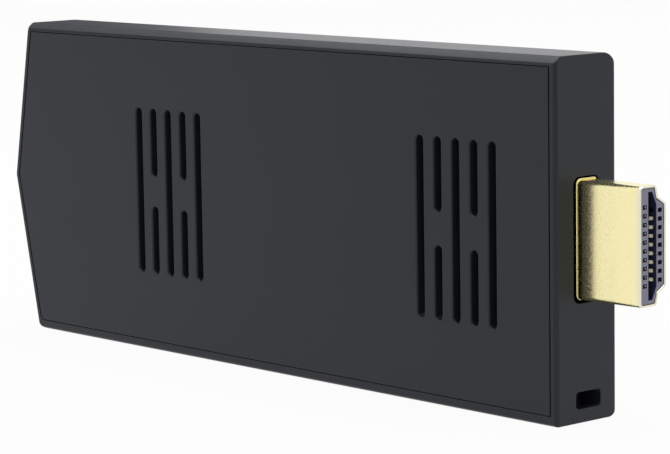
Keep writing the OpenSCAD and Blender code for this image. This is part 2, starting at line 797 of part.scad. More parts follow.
module plug_contacts_wide() color("#d9c98f") placed()
    for (i = [0 : wide_count - 1]) plug_contact(-1, row_z(i, wide_count), wide_sink, 0);

module plug_contacts_narrow() color("#d9c98f") placed()
    for (i = [0 : narrow_count - 1])
        plug_contact(1, row_z(i, narrow_count), narrow_sink, i == narrow_count - 1 ? late_contact : 0);

module main_board() color("#15241c") placed() difference() {
    translate([board_x0, board_front, board_z0]) cube([board_x1 - board_x0, board_t, board_z1 - board_z0]);
    translate([-host_x - host_w / 2 - port_gap, board_front - over, -over])
        cube([host_w + 2 * port_gap, board_t + 2 * over, over + mouth_sink + host_l + port_gap]);
    for (p = screw_spots) translate([p[0], board_front - over, p[1]]) rotate([-90, 0, 0])
        cylinder(r = screw_r + board_fit, h = board_t + 2 * over);
}

module board_screws() color("#8d8f92") placed() for (p = screw_spots)
    translate([p[0], board_front, p[1]]) rotate([-90, 0, 0]) difference() {
        union() {
            translate([0, 0, -screw_head_h]) cylinder(r = screw_head_r, h = screw_head_h);
            translate([0, 0, -push_fit])
                cylinder(r = screw_r, h = push_fit + board_t + back_space + screw_deep);
        }
        for (a = [0, 90]) rotate(a) translate([-drive_l / 2, -drive_w / 2, -screw_head_h - over])
            cube([drive_l, drive_w, over + drive_d]);
    }

module processor() color("#26282b") placed()
    on_front(-cpu_x, mid_z + cpu_up, cpu_side, cpu_side, cpu_h);

// Distance of the memory chips from the processor's middle
mem_off = cpu_side / 2 + mem_gap + mem_w / 2;
mem_spots = [-cpu_x - mem_off, -cpu_x + mem_off];
spreader_half = mem_off + mem_w / 2 + spreader_over;

module memory_chips() color("#1f2022") placed() for (x = mem_spots) {
    on_front(x, mid_z + cpu_up, mem_w, mem_l, mem_h);
    on_back(x, mid_z + cpu_up, mem_w, mem_l, mem_h);
}

// Soft pads between the chips and the spreader
module thermal_pads() color("#9fb0b5") placed() {
    translate([0, -cpu_h, 0]) on_front(-cpu_x, mid_z + cpu_up, cpu_side, cpu_side, pad_t);
    for (x = mem_spots) translate([0, -mem_h, 0])
        on_front(x, mid_z + cpu_up, mem_w, mem_l, pad_t + cpu_h - mem_h);
}

module heat_spreader() color("#4a4c50") placed() {
    side = cpu_side + 2 * spreader_over;
    translate([-cpu_x - spreader_half, spreader_y1 - spreader_t, mid_z + cpu_up - side / 2])
        cube([2 * spreader_half, spreader_t, side]);
}

module storage_chip() color("#1f2022") placed()
    on_front(-store_x, board_z1 - store_down - store_l / 2, store_w, store_l, store_h);

// Middle of the wireless module
radio_cx = board_x0 + radio_x;
radio_cz = board_z1 - radio_down - radio_side / 2;

// Middle of the power chip, half way between the memory and the wireless module
pmic_cx = (mem_spots[0] - mem_w / 2 + radio_cx + radio_side / 2) / 2;

module power_chip() color("#26282b") placed()
    on_front(pmic_cx, mid_z + pmic_up, pmic_side, pmic_side, pmic_h);

module inductors() color("#55575a") placed() for (i = [0, 1])
    on_front(coil_cx, board_z0 + coil_z + i * coil_pitch, coil_side, coil_side, coil_h);

module capacitors() color("#a08a6a") placed() for (i = [0 : cap_count - 1])
    on_front(-cpu_x + (i - (cap_count - 1) / 2) * cap_pitch, board_z1 - cap_down, cap_w, cap_l, cap_w);

module crystals() color("#b9bcc0") placed()
    on_front(-crystal_x, mid_z + crystal_up, crystal_w, crystal_l, crystal_h);

module wireless_board() color("#1d3a2c") placed()
    on_front(radio_cx, radio_cz, radio_side, radio_side, radio_board_t);

module wireless_can() color("#c3c6c9") placed() translate([0, -radio_board_t, 0]) difference() {
    side = radio_side - 2 * can_in;
    on_front(radio_cx, radio_cz, side, side, radio_can_h);
    inside = side - 2 * can_sheet;
    translate([0, over, 0])
        on_front(radio_cx, radio_cz, inside, inside, radio_can_h - can_sheet + over);
}

module antenna() color("#d8d5cb") placed()
    on_front(board_x0 + antenna_in + antenna_w / 2, mid_z, antenna_w, antenna_l, antenna_h);

// The host port's lower side, Y, and its tongue's contact face
host_y = cover_t + host_clear;
tongue_back = host_y + host_h - host_sheet - host_tongue_gap;
tongue_face = tongue_back - host_tongue_t;
host_in = host_w - 2 * host_sheet;
host_spots = [-host_outer, -host_inner, host_inner, host_outer];

module host_shell() color("#c9ccd0") placed() translate([-host_x, 0, mouth_sink]) {
    difference() {
        translate([-host_w / 2, host_y, 0]) cube([host_w, host_h, host_l]);
        translate([-host_in / 2, host_y + host_sheet, -over])
            cube([host_in, host_h - 2 * host_sheet, host_l + 2 * over]);
    }
    for (s = [-1, 1])
        translate([s * (host_w + ear_out - host_sheet) / 2, board_front - host_sheet / 2, ear_z + ear_w / 2])
            cube([ear_out + host_sheet, host_sheet, ear_w], center = true);
}

module host_tongue() color("#e8e8e6") placed() translate([-host_x, 0, mouth_sink]) {
    root_w = host_in - 2 * push_fit;
    translate([-host_tongue_w / 2, tongue_face, host_tongue_sink])
        cube([host_tongue_w, host_tongue_t, host_l - host_root - host_tongue_sink]);
    difference() {
        translate([-root_w / 2, host_y + host_sheet + push_fit, host_l - host_root])
            cube([root_w, host_h - 2 * host_sheet - 2 * push_fit, host_root]);
        cut_w = host_contact_w + 2 * push_fit;
        cut_t = host_contact_t + push_fit;
        for (x = host_spots) translate([x - cut_w / 2, tongue_face - cut_t, host_l - host_root - over])
            cube([cut_w, cut_t, host_root + 2 * over]);
    }
}

// A port contact that lies on the tongue's face and steps to a foot on the board
module port_contact(x, face, t, w, tip, rear) {
    path = [[tip, face - t / 2], [rear, face - t / 2],
        [rear + port_gap, board_front - t / 2], [rear + port_gap + port_foot, board_front - t / 2]];
    along_x(x - w / 2, x + w / 2) polygon(swapped(strip(path, t)));
}

module host_contacts() color("#d9c98f") placed() translate([-host_x, 0, mouth_sink])
    for (x = host_spots)
        port_contact(x, tongue_face, host_contact_t, host_contact_w,
            host_tongue_sink + contact_in, host_l);

// A small port's outline in X and Y, keyed at its two front corners
function small_outline(inset) = moved_in([
    [-small_w / 2, board_front], [-small_w / 2, board_front - small_h + small_key],
    [-small_w / 2 + small_key, board_front - small_h], [small_w / 2 - small_key, board_front - small_h],
    [small_w / 2, board_front - small_h + small_key], [small_w / 2, board_front]], inset);

module small_shell(x) color("#c9ccd0") placed() translate([-x, 0, mouth_sink])
    along_z(0, small_l) difference() {
        polygon(small_outline(0));
        polygon(small_outline(small_sheet));
    }

// The tongue's contact face, half way up the port
small_face = board_front - small_h / 2;

module small_tongue(x) color("#1c1d1f") placed() translate([-x, 0, mouth_sink]) {
    translate([-small_tongue_w / 2, small_face, small_tongue_sink])
        cube([small_tongue_w, small_tongue_t, small_l - small_root - small_tongue_sink]);
    difference() {
        along_z(small_l - small_root, small_l) polygon(small_outline(small_sheet + push_fit));
        cut_t = small_contact_t + push_fit;
        translate([-small_tongue_w / 2, small_face - cut_t, small_l - small_root - over])
            cube([small_tongue_w, cut_t, small_root + 2 * over]);
    }
}

module small_port_contacts(x) color("#d9c98f") placed() translate([-x, 0, mouth_sink])
    for (i = [0 : small_contacts - 1])
        port_contact((i - (small_contacts - 1) / 2) * small_pitch, small_face, small_contact_t,
            small_contact_w, small_tongue_sink + contact_in, small_l);

module data_shell() small_shell(data_x);
module data_tongue() small_tongue(data_x);
module data_contacts() small_port_contacts(data_x);
module power_shell() small_shell(power_x);
module power_tongue() small_tongue(power_x);
module power_contacts() small_port_contacts(power_x);

// The card socket sits on the board's lower edge, behind the wall's slot
module card_cover() color("#c3c6c9") placed()
    translate([card_cx - card_w / 2, board_front - card_h, board_z0]) difference() {
        cube([card_w, card_h, card_l]);
        translate([card_sheet, card_sheet, -over])
            cube([card_w - 2 * card_sheet, card_h, card_l - card_sheet + over]);
    }

module card_base() color("#26282b") placed() {
    w = card_w - 2 * card_sheet - 2 * push_fit;
    l = card_l - card_sheet - push_fit;
    inner_h = card_h - card_sheet - push_fit;
    difference() {
        translate([card_cx - w / 2, board_front - card_base_t, board_z0]) cube([w, card_base_t, l]);
        for (i = [0 : card_contacts_n - 1]) card_contact_cut(i);
    }
    translate([card_cx - w / 2, board_front - inner_h, board_z0 + l - card_stop])
        cube([w, inner_h - card_base_t, card_stop]);
}

function card_contact_x(i) = card_cx + (i - (card_contacts_n - 1) / 2) * card_pitch;

// The slot of one card contact in the base
module card_contact_cut(i) {
    w = card_contact_w + 2 * push_fit;
    translate([card_contact_x(i) - w / 2, board_front - card_base_t - over, board_z0 + card_foot - push_fit])
        cube([w, card_base_t + 2 * over, card_spring + 2 * push_fit]);
}

module card_contacts() color("#d9c98f") placed() for (i = [0 : card_contacts_n - 1]) {
    low = board_front - card_contact_t / 2;
    crest = board_front - card_base_t - card_rise;
    start = board_z0 + card_foot;
    quarter = card_spring / 4;
    path = [[start, low], [start + quarter, low],
        [start + 3 * quarter, crest], [start + card_spring, crest + card_rise / 2]];
    along_x(card_contact_x(i) - card_contact_w / 2, card_contact_x(i) + card_contact_w / 2)
        polygon(swapped(strip(path, card_contact_t)));
}

// Middle of the button, and the height that its lip starts at
button_cx = board_x0 + button_x;
lip_y = back_in - button_play - button_lip_t;

module power_button() color("#2e2f33") placed() translate([button_cx, 0, mid_z]) difference() {
    union() {
        slab(lip_y, body_t) pill(button_w, button_l);
        slab(lip_y, lip_y + button_lip_t) pill(button_w + 2 * button_lip, button_l + 2 * button_lip);
    }
    translate([0, body_t, 0]) rotate([90, 0, 0]) translate([0, 0, -over])
        linear_extrude(over + button_dish) pill(dish_w, dish_l);
}

module switch_body() color("#1c1d1f") placed() difference() {
    deep = plunger_in + button_travel + push_fit;
    on_back(button_cx, mid_z, switch_side, switch_side, switch_h);
    translate([button_cx, board_back + switch_h - deep, mid_z]) rotate([-90, 0, 0])
        cylinder(r = plunger_r + plunger_gap, h = deep + over);
}

module switch_plunger() color("#d8d5cb") placed()
    translate([button_cx, board_back + switch_h - plunger_in, mid_z]) rotate([-90, 0, 0])
        cylinder(r = plunger_r, h = plunger_in + plunger_h);

module status_light() color("#e9e6d8") placed()
    on_back(board_x0 + light_x, mid_z, light_side, light_side, light_h);

module light_pipe() color("#cfd6da") placed()
    translate([board_x0 + light_x, 0, mid_z]) rotate([-90, 0, 0]) {
        foot = board_back + light_h + light_gap;
        translate([0, 0, foot]) cylinder(r = pipe_r, h = body_t - foot);
        translate([0, 0, back_in - pipe_shoulder_t])
            cylinder(r = pipe_r + pipe_shoulder, h = pipe_shoulder_t);
    }

main_shell();
vent_cover();
plug_shell();
plug_insulator();
plug_contacts_wide();
plug_contacts_narrow();
main_board();
board_screws();
processor();
thermal_pads();
heat_spreader();
memory_chips();
storage_chip();
power_chip();
inductors();
capacitors();
crystals();
wireless_board();
wireless_can();
antenna();
host_shell();
host_tongue();
host_contacts();
data_shell();
data_tongue();
data_contacts();
power_shell();
power_tongue();
power_contacts();
card_cover();
card_base();
card_contacts();
power_button();
switch_body();
switch_plunger();
status_light();
light_pipe();
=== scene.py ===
"""Stick computer with a video plug: its finished looks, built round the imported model."""
import json
import math

import bmesh
import bpy
from mathutils import Matrix, Vector


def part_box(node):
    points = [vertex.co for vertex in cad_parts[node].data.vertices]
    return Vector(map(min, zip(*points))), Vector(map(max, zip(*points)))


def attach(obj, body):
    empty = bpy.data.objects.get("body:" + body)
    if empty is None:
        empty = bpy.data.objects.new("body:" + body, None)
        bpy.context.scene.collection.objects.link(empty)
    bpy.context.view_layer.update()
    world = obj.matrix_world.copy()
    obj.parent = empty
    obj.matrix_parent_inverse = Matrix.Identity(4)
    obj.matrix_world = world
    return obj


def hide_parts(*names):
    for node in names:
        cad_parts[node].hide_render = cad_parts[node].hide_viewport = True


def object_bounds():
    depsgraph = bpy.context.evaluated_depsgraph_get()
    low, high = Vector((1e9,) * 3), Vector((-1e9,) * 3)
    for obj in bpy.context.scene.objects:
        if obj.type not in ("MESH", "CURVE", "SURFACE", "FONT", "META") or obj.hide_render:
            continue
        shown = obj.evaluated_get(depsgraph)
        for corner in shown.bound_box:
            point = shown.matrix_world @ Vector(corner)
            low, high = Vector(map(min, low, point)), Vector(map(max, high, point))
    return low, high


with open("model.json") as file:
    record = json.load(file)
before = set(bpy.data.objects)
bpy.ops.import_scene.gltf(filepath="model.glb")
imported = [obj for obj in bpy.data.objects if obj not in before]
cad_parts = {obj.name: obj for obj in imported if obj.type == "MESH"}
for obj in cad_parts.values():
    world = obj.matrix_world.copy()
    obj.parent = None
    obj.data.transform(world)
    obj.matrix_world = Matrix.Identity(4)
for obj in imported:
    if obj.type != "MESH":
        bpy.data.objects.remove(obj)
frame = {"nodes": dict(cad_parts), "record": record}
cad_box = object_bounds()

MM = 0.001
record = frame["record"]
body_of = {node: body for body, nodes in record["behaviour"]["bodies"].items() for node in nodes}

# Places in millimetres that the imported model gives: the end wall's face, the cover's face, the far
# point, the case's width, the middle of the plug and the face of its moulded block
shell_low, shell_high = (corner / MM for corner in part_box("main_shell"))
plug_low, plug_high = (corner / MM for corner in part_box("plug_shell"))
wall_x, far_x = shell_high.x, shell_low.x
front_y, case_wide = shell_low.y, shell_high.z
plug_y, plug_z = (plug_low.y + plug_high.y) / 2, (plug_low.z + plug_high.z) / 2
block_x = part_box("plug_insulator")[1].x / MM


def linear(code):
    """An sRGB hex colour as the linear colour that shaders take."""
    parts = [int(code[i:i + 2], 16) / 255 for i in (1, 3, 5)]
    return [p / 12.92 if p <= 0.04045 else ((p + 0.055) / 1.055) ** 2.4 for p in parts] + [1.0]


def add(tree, kind, inputs=(), **settings):
    """Adds a node. Settings are its own properties, inputs its sockets' values or what feeds them."""
    made = tree.nodes.new(kind)
    for name, value in settings.items():
        setattr(made, name, value)
    for socket, value in dict(inputs).items():
        feeds = value if isinstance(value, list) else [value]
        if isinstance(feeds[0], bpy.types.NodeSocket):
            for feed in feeds:
                tree.links.new(feed, made.inputs[socket])
        else:
            made.inputs[socket].default_value = value
    return made


def start_material(name, **sockets):
    """A new material: its tree, its shader with the constant values set, and Object coordinates."""
    material = bpy.data.materials.new(name)
    material.use_nodes = True
    tree = material.node_tree
    tree.nodes.clear()
    shader = add(tree, "ShaderNodeBsdfPrincipled", sockets)
    add(tree, "ShaderNodeOutputMaterial", {"Surface": shader.outputs[0]})
    place = add(tree, "ShaderNodeTexCoord").outputs["Object"]
    return material, tree, shader, place


# What most of a noise texture's values lie between, and how many finer octaves its two uses have
NOISE_LOW, NOISE_HIGH = 0.3, 0.7
CLOUD_DETAIL, GRAIN_DETAIL = 3.0, 2.0
# A Mix node's sockets for colours, among those for its other kinds of data
FIRST, SECOND, MIXED = 6, 7, 2


def grained(name, tones, cloud, grain, height, rough, turn=None, **sockets):
    """A surface with slow clouds of colour and a fine grain in its gloss and relief.
    cloud and grain are the patterns' sizes and height the relief, all in millimetres.
    turn goes over to another colour along X: where it starts, where it ends, and the colour."""
    material, tree, shader, place = start_material(name, **sockets)
    clouds = add(tree, "ShaderNodeTexNoise", {
        "Vector": place, "Scale": 1 / (cloud * MM), "Detail": CLOUD_DETAIL})
    grains = add(tree, "ShaderNodeTexNoise", {
        "Vector": place, "Scale": 1 / (grain * MM), "Detail": GRAIN_DETAIL})
    colour = add(tree, "ShaderNodeMix", {
        0: clouds.outputs[0], FIRST: linear(tones[0]), SECOND: linear(tones[1])}, data_type="RGBA")
    if turn:
        start, end, code = turn
        along = add(tree, "ShaderNodeSeparateXYZ", {0: place}).outputs["X"]
        share = add(tree, "ShaderNodeMapRange", {
            "Value": along, "From Min": start * MM, "From Max": end * MM})
        colour = add(tree, "ShaderNodeMix", {
            0: share.outputs[0], FIRST: colour.outputs[MIXED], SECOND: linear(code)}, data_type="RGBA")
    gloss = add(tree, "ShaderNodeMapRange", {
        "Value": grains.outputs[0], "From Min": NOISE_LOW, "From Max": NOISE_HIGH,
        "To Min": rough[0], "To Max": rough[1]})
    relief = add(tree, "ShaderNodeBump", {
        "Height": grains.outputs[0], "Distance": height * MM, "Strength": 1.0})
    tree.links.new(colour.outputs[MIXED], shader.inputs["Base Color"])
    tree.links.new(gloss.outputs[0], shader.inputs["Roughness"])
    tree.links.new(relief.outputs[0], shader.inputs["Normal"])
    return material


# A board's fields between its tracks and the tracks' width, as shares of their pitch, and how much the
# mask steps over them, in millimetres
FIELD_LONG, TRACK_WIDE = 4, 0.2
MASK_STEP, MASK_SOFT = 0.03, 0.5


def laminate(name, tones, copper, pitch):
    """Board laminate under solder mask: copper tracks show through as slightly lighter lines."""
    material, tree, shader, place = start_material(name, **{"Roughness": 0.35, "IOR": 1.5})
    tracks = add(tree, "ShaderNodeTexBrick", {
        "Vector": place, "Scale": 1.0, "Brick Width": FIELD_LONG * pitch * MM, "Row Height": pitch * MM,
        "Mortar Size": TRACK_WIDE * pitch * MM, "Color1": linear(tones[0]), "Color2": linear(tones[1]),
        "Mortar": linear(copper)})
    relief = add(tree, "ShaderNodeBump", {
        "Height": tracks.outputs["Fac"], "Distance": MASK_STEP * MM, "Strength": MASK_SOFT})
    tree.links.new(tracks.outputs["Color"], shader.inputs["Base Color"])
    tree.links.new(relief.outputs[0], shader.inputs["Normal"])
    return material


# Moulded ABS with a fine spark-eroded skin: near black, and pale only where it is seen at a grazing angle.
# The real grain is about 0.05 mm, and it is drawn coarser so that it shows.
ABS = {"IOR": 1.5, "Specular IOR Level": 0.27}
case_abs = grained("abs_spark_eroded_charcoal", ("#1f222a", "#22252d"), 14, 0.3, 0.002, (0.28, 0.34), **ABS)
cover_abs = grained("abs_spark_eroded_cover", ("#1f222a", "#23262e"), 11, 0.3, 0.002, (0.28, 0.34), **ABS)
button_abs = grained("abs_satin_button", ("#191b1f", "#1d1f23"), 4, 0.2, 0.001, (0.22, 0.28), **ABS)
# Flash-gilt sheet steel: pale champagne gold with an orange peel that breaks up dark reflections, and a
# painted highlight that turns it paler towards the lip of its mouth
gilt_sheet = grained("gilt_sheet_steel", ("#fbf1bd", "#f7ecb4"), 3, 0.2, 0.005, (0.18, 0.3), Metallic=1.0,
                     turn=(block_x - 0.7, block_x, "#e8e3cf"))
# Gilt phosphor bronze springs: warm and satin, and bare grey at their sheared tips
gilt_spring = grained("gilt_phosphor_bronze", ("#f0e2ba", "#e8d6a8"), 1.2, 0.1, 0.001, (0.3, 0.4),
                      Metallic=1.0, turn=(block_x - 0.3, block_x - 0.16, "#dcdce0"))
# The same bronze under a matt, paler flash, which looks beige in the plug's dark cavity
matt_spring = grained("gilt_phosphor_bronze_matt", ("#fbf0d8", "#f4e6ca"), 1.2, 0.1, 0.001, (0.5, 0.6),
                      Metallic=0.7)
# Moulded PBT: grey-violet, dry and even, and painted shade makes it dark navy in its cavity and windows
plug_pbt = grained("pbt_grey_insulator", ("#7c7c8e", "#858597"), 2, 0.12, 0.002, (0.5, 0.6), IOR=1.57,
                   turn=(block_x - 0.02, block_x - 0.1, "#1e2246"))
# Solder mask over copper tracks: satin, with the tracks a little lighter
mask_black = laminate("solder_mask_black", ("#0c100e", "#0e120f"), "#161c18", 1.2)
mask_green = laminate("solder_mask_green", ("#0e2a1c", "#10301f"), "#1c4a32", 0.8)
# Zinc on steel, tin on steel, nickel on steel: cool grey metals, from dull to bright
zinc = grained("zinc_plated_steel", ("#9a9ca0", "#a8a69c"), 1, 0.15, 0.002, (0.3, 0.42), Metallic=1.0)
tin = grained("tinned_sheet_steel", ("#c4c6c8", "#b6b8bb"), 2, 0.2, 0.002, (0.28, 0.38), Metallic=1.0)
nickel = grained("nickel_plated_steel", ("#c9c8c4", "#bdbcb8"), 2.5, 0.15, 0.0015, (0.2, 0.3), Metallic=1.0)
# Black anodised aluminium sheet: near black, with a metal's soft sheen
anodised = grained("anodised_aluminium_black", ("#141517", "#18191b"), 3, 0.15, 0.002, (0.4, 0.5),
                   Metallic=0.6)
# Moulded epoxy packages, pressed ferrite and fired ceramic: dull, from near black to tan and white
epoxy = grained("epoxy_moulding_black", ("#17181a", "#1c1d1f"), 2, 0.1, 0.004, (0.5, 0.62), IOR=1.55)
ferrite = grained("ferrite_moulded", ("#3a3b3d", "#444446"), 1, 0.12, 0.006, (0.6, 0.72), IOR=1.6)
ceramic_tan = grained("ceramic_capacitor_tan", ("#8a6f4c", "#967a56"), 0.6, 0.06, 0.001, (0.4, 0.5), IOR=1.7)
ceramic_white = grained("ceramic_antenna_white", ("#d2cfc4", "#dcd9cf"), 1.5, 0.1, 0.001, (0.4, 0.5), IOR=1.7)
# Soft silicone pad: pale blue-grey and dry
silicone = grained("silicone_pad", ("#8fa0a6", "#9aaab0"), 1.5, 0.1, 0.004, (0.65, 0.75), IOR=1.41)
# Moulded nylon of the port tongues and the switch: smooth, with a faint waxy gloss
nylon_white = grained("nylon_white", ("#dcdcd9", "#e4e4e1"), 2, 0.12, 0.002, (0.42, 0.52), IOR=1.53)
nylon_black = grained("nylon_black", ("#18191b", "#1d1e20"), 2, 0.12, 0.002, (0.42, 0.52), IOR=1.53)
# Clear resin and frosted acrylic, which let some light through
lamp_resin = grained("epoxy_lamp_resin", ("#e4e0cc", "#dcd8c2"), 0.8, 0.08, 0.001, (0.15, 0.22), IOR=1.5,
                     **{"Transmission Weight": 0.3})
pipe_acrylic = grained("acrylic_frosted", ("#c3cdd3", "#cfd8dd"), 1, 0.1, 0.002, (0.3, 0.38), IOR=1.49,
                       **{"Transmission Weight": 0.45})


def linked(name, mesh):
    """A new object in the scene for a mesh."""
    made = bpy.data.objects.new(name, mesh)
    bpy.context.scene.collection.objects.link(made)
    return made


def as_mesh(name, skin):
    """A bmesh as a plain, smooth-shaded mesh. The bmesh is freed."""
    mesh = bpy.data.meshes.new(name)
    skin.to_mesh(mesh)
    skin.free()
    mesh.shade_smooth()
    return mesh


# Faces that meet at more than the one make an edge, and at less than the other are one flat face
SHARP, FLAT = math.radians(28), math.radians(1)
# How far apart a CAD mesh's doubled points may lie, in millimetres
DOUBLED = 0.002
EDGE_STEPS = 2
# The weight at which the largest faces at a point set its shading
LARGEST_FIRST = 100


def evaluated(made):
    """The plain mesh that an object's modifiers give. The object itself is removed."""
    graph = bpy.context.evaluated_depsgraph_get()
    mesh = bpy.data.meshes.new_from_object(made.evaluated_get(graph))
    bpy.data.objects.remove(made)
    return mesh


def eased(made, radius, limit="ANGLE"):
    """An object's mesh with its edges rounded by a radius in millimetres."""
    bevel = made.modifiers.new("edges", "BEVEL")
    bevel.width = radius * MM
    bevel.segments = EDGE_STEPS
    bevel.limit_method = limit
    bevel.angle_limit = SHARP
    bevel.use_clamp_overlap = False
    bevel.loop_slide = False
    return evaluated(made)


def merged_copy(node):
    """A CAD node's mesh as one closed skin, in a bmesh."""
    skin = bmesh.new()
    skin.from_mesh(frame["nodes"][node].data)
    bmesh.ops.remove_doubles(skin, verts=skin.verts, dist=DOUBLED * MM)
    return skin


def shared_out(name, skin, radius, share):
    """A bmesh with its edges rounded. share says how much of the radius an edge gets."""
    weight = skin.edges.layers.float.new("bevel_weight_edge")
    for edge in skin.edges:
        edge[weight] = share(edge) if edge.calc_face_angle(0) > SHARP else 0
    return eased(linked(name, as_mesh(name, skin)), radius, "WEIGHT")


def softened(node, radius, share=lambda edge: 1.0):
    """A copy of a CAD node with its edges rounded."""
    skin = merged_copy(node)
    bmesh.ops.dissolve_limit(skin, angle_limit=FLAT, verts=skin.verts, edges=skin.edges)
    return shared_out(node, skin, radius, share)


def show(node, mesh, material):
    """Puts a mesh in the place of a CAD node, on that node's body, with its flat faces shaded flat."""
    # Rounding can lift a corner's point out of the CAD box by a hair
    for vert in mesh.vertices:
        vert.co = [min(max(place, low), high) for place, low, high in zip(vert.co, *cad_box)]
    mesh.materials.clear()
    mesh.materials.append(material)
    shape = linked(node + "_shape", mesh)
    weights = shape.modifiers.new("normals", "WEIGHTED_NORMAL")
    weights.weight = LARGEST_FIRST
    weights.keep_sharp = True
    made = linked("finished_" + node, evaluated(shape))
    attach(made, body_of[node])
    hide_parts(node)


# Each CAD node whose shape is right: the radius of its edges in millimetres, and its material
SOFTENED = {
    "plug_insulator": (0.03, plug_pbt),
    "main_board": (0.05, mask_black),
    "board_screws": (0.08, zinc),
    "processor": (0.08, epoxy),
    "thermal_pads": (0.1, silicone),
    "heat_spreader": (0.12, anodised),
    "memory_chips": (0.06, epoxy),
    "storage_chip": (0.06, epoxy),
    "power_chip": (0.06, epoxy),
    "inductors": (0.25, ferrite),
    "capacitors": (0.08, ceramic_tan),
    "crystals": (0.12, nickel),
    "wireless_board": (0.04, mask_green),
    "wireless_can": (0.06, tin),
    "antenna": (0.06, ceramic_white),
    "host_shell": (0.06, nickel),
    "host_tongue": (0.08, nylon_white),
    "host_contacts": (0.03, gilt_spring),
    "data_shell": (0.05, nickel),
    "data_tongue": (0.04, nylon_black),
    "data_contacts": (0.02, gilt_spring),
    "power_shell": (0.05, nickel),
    "power_tongue": (0.04, nylon_black),
    "power_contacts": (0.02, gilt_spring),
    "card_cover": (0.05, tin),
    "card_base": (0.04, nylon_black),
    "card_contacts": (0.02, gilt_spring),
    "power_button": (0.14, button_abs),
    "switch_body": (0.06, nylon_black),
    "switch_plunger": (0.06, nylon_white),
    "status_light": (0.08, lamp_resin),
    "light_pipe": (0.1, pipe_acrylic),
}
for node, (radius, material) in SOFTENED.items():
    show(node, softened(node, radius), material)

# The main shell's radii in millimetres: widest on the bevel along its upper front edge, crisp at the
# cover's seam, and in between elsewhere
BEVEL_ROUND, SEAM_ROUND, SHELL_ROUND = 0.22, 0.04, 0.1
# How far the bevel reaches from the case's front and top, and less than the rim's width
BEVEL_REACH, RIM_LEAST = 1.0, 0.6


def shell_share(edge):
    """How much of the widest radius an edge of the main shell gets, from where it lies."""
    ends = [vert.co / MM for vert in edge.verts]
    if all(end.z > case_wide - BEVEL_REACH and end.y < front_y + BEVEL_REACH for end in ends):
        return 1.0
    inside = all(RIM_LEAST < end.z < case_wide - RIM_LEAST and end.x < wall_x - RIM_LEAST for end in ends)
    at_front = all(end.y < front_y + SEAM_ROUND for end in ends)
    return (SEAM_ROUND if inside and at_front else SHELL_ROUND) / BEVEL_ROUND


show("main_shell", softened("main_shell", BEVEL_ROUND, shell_share), case_abs)


def moved_in(points, inset):
    """A closed outline, its points running anticlockwise, with every side moved in."""
    moved = []
    for i, here in enumerate(points):
        before = (here - points[i - 1]).normalized()
        after = (points[(i + 1) % len(points)] - here).normalized()
        inward = Vector((-before.y - after.y, before.x + after.x))
        moved.append(here + inward * inset / (1 + before.dot(after)))
    return moved


def rounded(points, radii, steps):
    """A closed outline with each corner rounded by its own radius, or left sharp where that is 0."""
    made = []
    for i, (corner, radius) in enumerate(zip(points, radii)):
        if not radius:
            made.append(corner)
            continue
        to_last = (points[i - 1] - corner).normalized()
        to_next = (points[(i + 1) % len(points)] - corner).normalized()
        half = to_last.angle(to_next) / 2
        centre = corner + (to_last + to_next).normalized() * radius / math.sin(half)
        first = corner + to_last * radius / math.tan(half) - centre
        last = corner + to_next * radius / math.tan(half) - centre
        made += [centre + first.slerp(last, step / steps).normalized() * radius for step in range(steps + 1)]
    return made


# The plug's D-shaped outline in millimetres, across the thickness and along the width, and its sheet
PLUG_THICK, PLUG_WIDE, PLUG_NECK, PLUG_NARROW = 4.45, 13.9, 11.2, 9.55
PLUG_STEP, PLUG_SHOULDER = 2.78 - PLUG_THICK / 2, 0.32
PLUG_ROUND, SHOULDER_ROUND, LEAST_ROUND, ROUND_STEPS = 0.55, 0.33, 0.1, 7
PLUG_OUT, PLUG_IN, PLUG_SHEET = 9.3, 5.2, 0.3
SHEET_SHARP = math.radians(40)
# The flange sits a little high in the wall, and the wide face swells out to meet it
FLANGE_FRONT, FLANGE_BACK, FLANGE_OUT, FLANGE_SHIFT = -0.1, -0.5, 0.14, Vector((0.02, 0.08))
SWELL, SWELL_LONG, SWELL_STEPS = 0.28, 5.0, 12


def swell_at(x):
    """How far the wide face stands out at a distance from the end wall."""
    share = min(max(1 - x / SWELL_LONG, 0), 1)
    return SWELL * share * share * (3 - 2 * share)


def plug_ring(x, inset, swell=0, shift=Vector((0, 0))):
    """The plug's outline moved in, as a ring of points at a distance from the end wall."""
    half = [(-PLUG_THICK / 2, PLUG_WIDE / 2), (PLUG_STEP, PLUG_WIDE / 2),
            (PLUG_STEP + PLUG_SHOULDER, PLUG_NECK / 2), (PLUG_THICK / 2, PLUG_NARROW / 2)]
    radii = [PLUG_ROUND, SHOULDER_ROUND, SHOULDER_ROUND, PLUG_ROUND]
    corners = [Vector((y, -z)) for y, z in half] + [Vector((y, z)) for y, z in reversed(half)]
    turns = [max(radius - inset, LEAST_ROUND) for radius in radii + radii[::-1]]
    outline = rounded(moved_in(corners, inset), turns, ROUND_STEPS)
    stretch = 1 + swell / (PLUG_THICK / 2)
    return [Vector((wall_x + x, plug_y + shift.x + y * (stretch if y < 0 else 1), plug_z + shift.y + z)) * MM
            for y, z in outline]


def quarter(x, inset, across, deep, start, steps):
    """A quarter of an ellipse in the plug sheet's section, turning down from its start in degrees."""
    turns = [math.radians(start - 90 * step / steps) for step in range(steps + 1)]
    return [(x + across * math.cos(turn), inset - deep * math.sin(turn)) for turn in turns]


